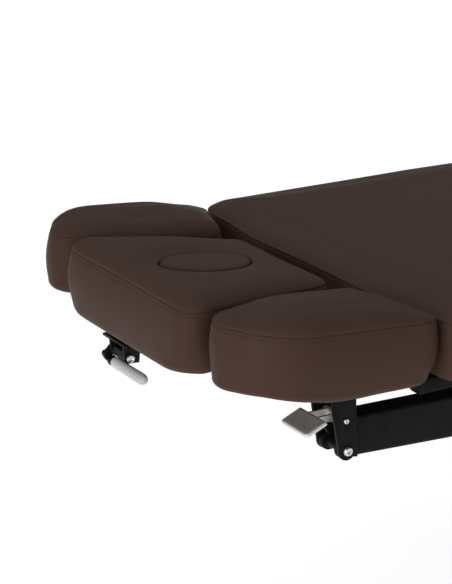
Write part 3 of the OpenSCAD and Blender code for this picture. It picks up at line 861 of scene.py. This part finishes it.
for side, sp in (("right", PM), ("left", P)):
    fix(side_rail("side_rail_%s_section" % side, sp), "chassis", "rail_steel", "side_rail_" + side)
    fix(back_tube("back_tube_%s_section" % side, sp), "back", "frame_steel", "back_tube_" + side)
fix(join([rhs("s", "x", (820, 245, RAIL_TOP), (1660, 285, TT), 3, 5, MAT["rail_steel"], s, 3) for s in (P, PM)], "seat_rail_sections"), "chassis", "rail_steel", "seat_rails")
fix(join([rhs("c", "y", (x, -245, RAIL_BOT), (x + 40, 245, RAIL_BOT + 40), 3, 5, MAT["rail_steel"]) for x in (300, 1040)], "cross_tube_sections"), "chassis", "rail_steel", "cross_tubes")
for end, x in (("head", 560), ("foot", 1260)):
    fix(rhs("cross_beam_%s_section" % end, "y", (x - 45, -245, RAIL_BOT), (x + 45, 245, RAIL_BOT + 40), 3, 6, MAT["rail_steel"]), "chassis", "rail_steel", "cross_beam_" + end)
    for stage, g, z0, body, slot in (("outer", 0, BASE_TOP, "base", "frame_steel"), ("mid", 6, BASE_TOP + 56, "column_stage", "column_steel"), ("inner", 12, RAIL_BOT - 300, "chassis", "column_steel")):
        fix(rhs("column_%s_%s_section" % (stage, end), "z", (x - 45 + g, -65 + g, z0), (x + 45 - g, 65 - g, z0 + 300), 3, 7 - g / 4, MAT[slot]), body, slot, "column_%s_%s" % (stage, end))
for end, x in (("head", 560), ("foot", 1400)):
    fix(rhs("foot_bar_%s_section" % end, "y", (x - 30, -260, FLOOR + 28), (x + 30, 260, FLOOR + 68), 3, 6, MAT["rail_steel"]), "base", "rail_steel", "foot_bar_" + end)
fix(rhs("back_cross_head_section", "y", (60, -265, TB), (85, 265, TT), 2.5, 4, MAT["frame_steel"]), "back", "frame_steel", "back_cross_head")


# ---------------------------------------------------------------------------------------------
# turned and bent fittings
# ---------------------------------------------------------------------------------------------
def lathe(name, rows, at, material, sp=P, sides=36, hexes=None):
    """Solid of revolution about a crosswise axis at (x, z): rows are (radius, y). Rows in hexes are six-sided."""
    rings = []
    for q, (r, y) in enumerate(rows):
        ring = []
        for s in range(sides):
            a = 2 * math.pi * s / sides
            rr = r
            if hexes and q in hexes:
                b = (a + math.pi / 6) % (math.pi / 3) - math.pi / 6
                rr = r * math.cos(math.pi / 6) / math.cos(b)
            ring.append(sp(at[0] + rr * math.cos(a), y, at[1] + rr * math.sin(a)))
        rings.append(ring)
    verts, faces = loft(rings)
    return mesh_object(name, verts, faces, material, 28)


def socket_bolt(name, at, y_head, r, h, y_tip, r_shaft, key, material, sp=P):
    """Button-head bolt whose head faces +y, with a hexagon socket."""
    top = y_head + h
    rows = [(r_shaft * 0.82, y_tip), (r_shaft, y_tip + 0.9), (r_shaft, y_head - 0.2), (r * 0.985, y_head), (r, y_head + 0.35), (r * 0.985, y_head + h * 0.35),
            (r * 0.90, y_head + h * 0.68), (r * 0.78, y_head + h * 0.92), (r * 0.66, top), (key * 1.10, top), (key, top - 0.25), (key * 0.98, top - h * 0.6), (key * 0.5, top - h * 0.72)]
    return lathe(name, rows, at, material, sp, 36, hexes={10, 11, 12})


def sweep_tube(name, path, radius, material, sides=22, round_ends=(True, True), sp=P, bulge=None):
    """Round bar along a path of points (mm), with rounded ends."""
    pts = [Vector(p) for p in path]
    tang = [(pts[min(i + 1, len(pts) - 1)] - pts[max(i - 1, 0)]).normalized() for i in range(len(pts))]
    up = Vector((0.0, 0.0, 1.0)) if abs(tang[0].z) < 0.9 else Vector((1.0, 0, 0))
    nrm = (up - tang[0] * up.dot(tang[0])).normalized()
    rings = []

    def ring(c, t, n, r):
        b = t.cross(n)
        return [sp(*(c + n * (r * math.cos(2 * math.pi * s / sides)) + b * (r * math.sin(2 * math.pi * s / sides)))) for s in range(sides)]

    frames = []
    for i, p in enumerate(pts):
        nrm = (nrm - tang[i] * nrm.dot(tang[i])).normalized()
        frames.append((p, tang[i], nrm.copy()))
    rad = [radius if bulge is None else bulge[i] for i in range(len(pts))]
    if round_ends[0]:
        p, t, n = frames[0]
        for k in (0.15, 0.45, 0.75):
            rings.append(ring(p - t * (rad[0] * 0.8 * math.cos(k * math.pi / 2)), t, n, rad[0] * math.sin(k * math.pi / 2)))
    for i, (p, t, n) in enumerate(frames):
        rings.append(ring(p, t, n, rad[i]))
    if round_ends[1]:
        p, t, n = frames[-1]
        for k in (0.75, 0.45, 0.15):
            rings.append(ring(p + t * (rad[-1] * 0.8 * math.cos(k * math.pi / 2)), t, n, rad[-1] * math.sin(k * math.pi / 2)))
    verts, faces = loft(rings)
    return mesh_object(name, verts, faces, material, 40)


def finish_copy(node, width=0.8, segments=2, limit=32, material=None, slot=None):
    """A CAD node's own shape with its sharp edges broken."""
    src = NODES[node]
    o = bpy.data.objects.new(node + "_finished", src.data.copy())
    scene.collection.objects.link(o)
    bm = bmesh.new()
    bm.from_mesh(o.data)
    bmesh.ops.remove_doubles(bm, verts=bm.verts, dist=2e-6)
    bmesh.ops.dissolve_limit(bm, angle_limit=math.radians(0.6), verts=bm.verts, edges=bm.edges)
    bm.to_mesh(o.data)
    bm.free()
    mod = o.modifiers.new("edges", "BEVEL")
    mod.width = width / 1000
    mod.segments = segments
    mod.limit_method = "ANGLE"
    mod.angle_limit = math.radians(limit)
    mod.use_clamp_overlap = True
    baked(o)
    o.data.materials.clear()
    o.data.materials.append(material or MAT[SLOT[node]])
    for poly in o.data.polygons:
        poly.material_index = 0
    shade(o.data, 34)
    return fix(o, BODY[node], slot or SLOT[node], node)


# armrest bolts: button heads outside, nuts inside, spacer tube between the lugs
for side, sp in (("right", PM), ("left", P)):
    z = MAT["zinc"]
    nut = lathe("n", [(5.2, 227.0), (7.6, 227.0), (8.5, 227.6), (8.5, 233.2), (7.9, 234.0), (5.2, 234.0)], ARM_B, z, sp, 36, hexes={2, 3})
    spacer = lathe("t", [(5.2, 249.2), (7.3, 249.2), (7.7, 249.6), (7.7, 280.4), (7.3, 280.8), (5.2, 280.8)], ARM_B, MAT["frame_steel"], sp)
    big = socket_bolt("b", ARM_B, 296.0, 7.6, 4.8, 225.5, 5.0, 3.5, z, sp)
    small = socket_bolt("s", ARM_S, 296.0, 4.6, 3.2, 228.6, 3.0, 2.0, z, sp)
    nut2 = lathe("m", [(3.1, 229.5), (4.9, 229.5), (5.5, 229.9), (5.5, 233.4), (5.0, 234.0), (3.1, 234.0)], ARM_S, z, sp, 36, hexes={2, 3})
    o = join([nut, spacer, big, small, nut2], "armrest_bolts_%s_set" % side)
    shade(o.data, 28)
    fix(o, "armrest_" + side, "zinc", "armrest_bolts_" + side)

# release paddles: pressed stainless trays with rolled rims on two arms and a hub
for side, sp in (("right", PM), ("left", P)):
    s = MAT["stainless"]
    ca, sa = math.cos(math.radians(22.5)), math.sin(math.radians(22.5))

    def tray_sp(x, y, z, sp=sp):
        """x along the paddle towards the hub, y across, z up from its lower corner."""
        return sp(-153.5 + x * ca - z * sa, 231 + y, -150.5 + x * sa + z * ca)

    line = Outline([(0, 0), (37.9, 0), (37.9, 71), (0, 71)], [5, 3, 3, 5], 3.0, 0.0, keep=0.5)
    rows = [(17, 1.7), (12, 1.9), (8, 2.3), (5, 2.5), (3.2, 2.45), (1.9, 2.1), (0.8, 1.2), (0.25, 0.0), (0.0, -1.6), (0.0, -3.1), (0.4, -3.5), (1.3, -3.5), (1.7, -3.1), (1.8, -1.4), (2.3, -0.5), (3.4, 0.2), (5, 0.5), (8, 0.3), (12, -0.1), (17, -0.3)]
    rings = [[tray_sp(x, y, z) for x, y in line.ring(d)] for d, z in rows]
    verts, faces = loft(rings)
    parts = [mesh_object("tray", verts, faces, s, 40)]
    hub = lathe("hub", [(3.2, 242), (6.6, 242), (7.0, 242.5), (7.0, 287.5), (6.6, 288), (3.2, 288)], ARM_S, s, sp)
    parts.append(hub)
    for y0 in (250, 274):
        outline = [(-126, -136.6), (ARM_S[0] - 2, ARM_S[1] + 6.6), (ARM_S[0] + 4, ARM_S[1] + 3), (ARM_S[0] + 4, ARM_S[1] - 3), (ARM_S[0] - 2, ARM_S[1] - 6.6), (-126, -142.4)]
        rings = [[sp(x, y, z) for x, z in outline] for y in (y0, y0 + 4)]
        verts, faces = loft(rings)
        parts.append(mesh_object("arm", verts, faces, s, 30))
    cpl, spl = math.cos(math.radians(-3.65)), math.sin(math.radians(-3.65))
    pawl = []
    for y in (260, 268):
        pawl.append([sp(ARM_S[0] + x * cpl + z * spl, y, ARM_S[1] - x * spl + z * cpl) for x, z in ((-2, -2.6), (2, -2.6), (2, -9.6), (1.4, -10.6), (-1.4, -10.6), (-2, -9.6))])
    verts, faces = loft(pawl)
    parts.append(mesh_object("pawl", verts, faces, s, 30))
    o = join(parts, "paddle_%s_pressing" % side)
    shade(o.data, 40)
    fix(o, "paddle_" + side, "stainless", "paddle_" + side)

# head lever: one round bar bent back on itself, with a hub and cam between the bracket's cheeks
LP, GP = (-266.5, -130.2), (-269.0, -149.0)
LEG = (GP[0] - 7.5, GP[1] + 10.0)  # the bar's short leg, welded into the arm
dx, dz = GP[0] - LEG[0], GP[1] - LEG[1]
half = math.hypot(dx, dz) / 2
mid = ((LEG[0] + GP[0]) / 2, (LEG[1] + GP[1]) / 2)
path = [(LEG[0], y, LEG[1]) for y in (71, 75, 78)]
for k in range(1, 12):
    a = math.pi * k / 12
    path.append((mid[0] - dx / 2 * math.cos(a), 78 + half * math.sin(a), mid[1] - dz / 2 * math.cos(a)))
path += [(GP[0], y, GP[1]) for y in (78, 60, 30, 0, -26)]
rod = sweep_tube("rod", path, 5.4, MAT["plastic"], 24, (False, False), head_sp)
hub = lathe("hub", [(4.6, 22.4), (8.0, 22.4), (8.5, 23.0), (8.5, 61.0), (8.0, 61.6), (4.6, 61.6)], LP, MAT["plastic"], head_sp)
washer = lathe("washer", [(4.6, 66.4), (7.4, 66.4), (7.4, 70.1), (4.6, 70.1)], LP, MAT["plastic"], head_sp)
arm = []
for y in (70, 70.6, 76.4, 77):
    e = 0.6 if y in (70, 77) else 0.0
    row = []
    for (cx, cz, cr), (b0, b1) in (((LP[0], LP[1], 8.2 - e), (-40, 150)), ((LEG[0], LEG[1], 6.6 - e), (150, 320))):
        for k in range(11):
            a = math.radians(b0 + (b1 - b0) * k / 10)
            row.append(head_sp(cx + cr * math.cos(a), y, cz + cr * math.sin(a)))
    arm.append(row)
verts, faces = loft(arm)
arm = mesh_object("arm", verts, faces, MAT["plastic"], 30)
cam = []
for y in (28, 56):
    cam.append([head_sp(LP[0] + x, y, LP[1] + z) for x, z in ((-8, 0), (-8, 7.5), (-6.5, 9), (12, 9), (14, 7.5), (16, -5), (14.5, -6.5), (0, -8.5))])
verts, faces = loft(cam)
cam = mesh_object("cam", verts, faces, MAT["plastic"], 30)
collar = lathe("collar", [(5.0, 61.9), (7.7, 61.9), (8.1, 62.3), (8.1, 70.2), (7.7, 70.6), (5.0, 70.6)], GP, MAT["plastic"], head_sp)
o = join([rod, hub, washer, collar, cam, arm], "head_lever_bar")
shade(o.data, 35)
fix(o, "head_lever", "plastic", "head_lever")

path, rad = [], []
for y, r in ((-32.0, 7.3), (-30.5, 8.2), (-26, 8.7), (-16, 8.8), (2, 8.6), (18, 8.5), (36, 8.6), (50, 8.8), (56, 8.7), (59.0, 8.3), (60.5, 7.4)):
    path.append((GP[0], y, GP[1]))
    rad.append(r)
grip = sweep_tube("head_grip_sleeve", path, 8.8, MAT["grip"], 32, (True, True), head_sp, rad)
fix(grip, "head_lever", "grip", "head_grip")
pin = lathe("head_lever_bolt", [(2.0, 13.9), (2.6, 13.4), (4.6, 13.0), (6.0, 13.5), (6.5, 14.6), (6.5, 16.6), (6.2, 17.0), (4.5, 17.1), (4.5, 78.4), (4.0, 79.0)], LP, MAT["zinc"], head_sp)
fix(pin, "head_lever", "zinc", "head_lever_pin")

# every other node keeps its CAD shape, with broken edges and its own finish
WIDTH = {"levellers": 1.2, "lift_motors": 1.5, "control_box": 3.0, "mains_inlet": 0.8, "back_motor": 2.0, "foot_bar_caps": 1.2, "rail_caps": 1.0,
         "rest_pads": 2.0, "seat_board": 1.5, "back_board": 1.5, "head_board": 1.5, "armrest_board_right": 1.5, "armrest_board_left": 1.5,
         "pivot_pins": 1.5, "column_collars_low": 0.8, "column_collars_high": 0.8, "base_spine": 1.5}
for node in sorted(NODES):
    if node not in made:
        finish_copy(node, WIDTH.get(node, 0.7))

# ---------------------------------------------------------------------------------------------
# floor, light and camera
# ---------------------------------------------------------------------------------------------
m, nodes, links, b = new_material("studio_floor")
v = coords(nodes, links)
links.new(ramp(nodes, links, noise(nodes, links, v, 2.0, 3), [(0.3, (0.24, 0.24, 0.24)), (0.7, (0.26, 0.26, 0.26))]), b.inputs["Base Color"])
b.inputs["Roughness"].default_value = 0.8
b.inputs["Specular IOR Level"].default_value = 0.2
b.inputs["Emission Color"].default_value = (1, 1, 1, 1)
b.inputs["Emission Strength"].default_value = 0.88
size = 40.0
verts = [(-size, -size, -0.0005), (size, -size, -0.0005), (size, size, -0.0005), (-size, size, -0.0005)]
floor = mesh_object("studio_floor", verts, [(0, 1, 2, 3)], m)

world = bpy.data.worlds.new("studio")
scene.world = world
world.use_nodes = True
# the room is bright overhead and dim at eye level
wn, wl = world.node_tree.nodes, world.node_tree.links
wc = wn.new("ShaderNodeTexCoord")
parts3 = wn.new("ShaderNodeSeparateXYZ")
wl.new(wc.outputs["Generated"], parts3.inputs[0])
wn["Background"].inputs["Color"].default_value = (1.0, 1.0, 1.0, 1)
wl.new(span(wn, wl, parts3.outputs["Z"], 0.14, 0.82, 0.10, 0.90), wn["Background"].inputs["Strength"])
scene.view_settings.view_transform = "Standard"
scene.view_settings.look = "None"
scene.view_settings.exposure = 0.0
scene.view_settings.gamma = 1.0


def softbox(name, at, to, w, h, power):
    d = bpy.data.lights.new(name, "AREA")
    d.shape = "RECTANGLE"
    d.size, d.size_y = w, h
    d.energy = power
    o = bpy.data.objects.new(name, d)
    scene.collection.objects.link(o)
    o.location = at
    o.rotation_euler = (Vector(to) - Vector(at)).to_track_quat("-Z", "Y").to_euler()
    return o


softbox("key", (-3.7, -1.75, 1.05), (-0.7, 0.0, 0.62), 1.8, 1.4, 46)

# camera: the photograph's viewpoint
yaw, pitch, roll, dist = 0.5197, 0.3161, -0.0142, 3.1652
aim = Vector((-0.83669, 0.0089, 0.67027))
f = Vector((math.sin(yaw) * math.cos(pitch), math.cos(yaw) * math.cos(pitch), -math.sin(pitch)))
r = f.cross(Vector((0, 0, 1))).normalized()
u = r.cross(f)
right = r * math.cos(roll) + u * math.sin(roll)
up = u * math.cos(roll) - r * math.sin(roll)
cam_data = bpy.data.cameras.new("camera")
cam_data.lens = 127.66
cam_data.sensor_width = 36.0
cam_data.sensor_fit = "AUTO"
cam_data.clip_start = 0.1
cam_data.clip_end = 100.0
cam = bpy.data.objects.new("camera", cam_data)
scene.collection.objects.link(cam)
from mathutils import Matrix

cam.matrix_world = Matrix(((right.x, up.x, -f.x, 0), (right.y, up.y, -f.y, 0), (right.z, up.z, -f.z, 0), (0, 0, 0, 1)))
cam.location = aim - f * dist
scene.camera = cam

bpy.context.view_layer.update()
